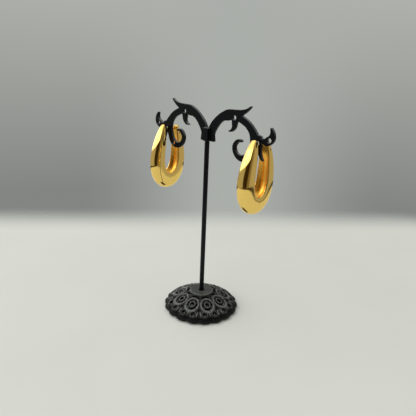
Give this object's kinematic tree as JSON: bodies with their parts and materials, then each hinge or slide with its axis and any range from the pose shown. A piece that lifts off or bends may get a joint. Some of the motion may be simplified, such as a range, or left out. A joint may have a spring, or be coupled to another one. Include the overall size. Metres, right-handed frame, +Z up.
{
  "type": "pair of teardrop hoop earrings on a scroll display stand",
  "caption": "Polished gold teardrop hoop earrings hanging by their ear posts on a black display stand: scroll bar on a round rod over a pierced, lobed, domed base.",
  "frame": {"origin": "centre of the base's footprint, on the surface that it stands on", "axes": "+Z up along the rod, X along the scroll bar, -Y towards the side that the bar's plain face looks to"},
  "size_m": [0.0928, 0.0474, 0.1316],
  "materials": {
    "black_cast_base": "satin black paint over a zinc casting, worn dusty grey on the raised relief",
    "black_painted_rod": "satin black paint",
    "black_scroll_bar": "moulded satin black plastic with soft edges",
    "polished_gold_plate": "mirror-polished yellow gold plate",
    "gold_post_wire": "polished gold-plated wire"
  },
  "bodies": {
    "root": {"base": "black_cast_base", "rod": "black_painted_rod", "scroll_bar": "black_scroll_bar", "hoop_left": "polished_gold_plate", "hoop_right": "polished_gold_plate", "ear_post_left": "gold_post_wire", "ear_post_right": "gold_post_wire"}
  },
  "joints": []
}
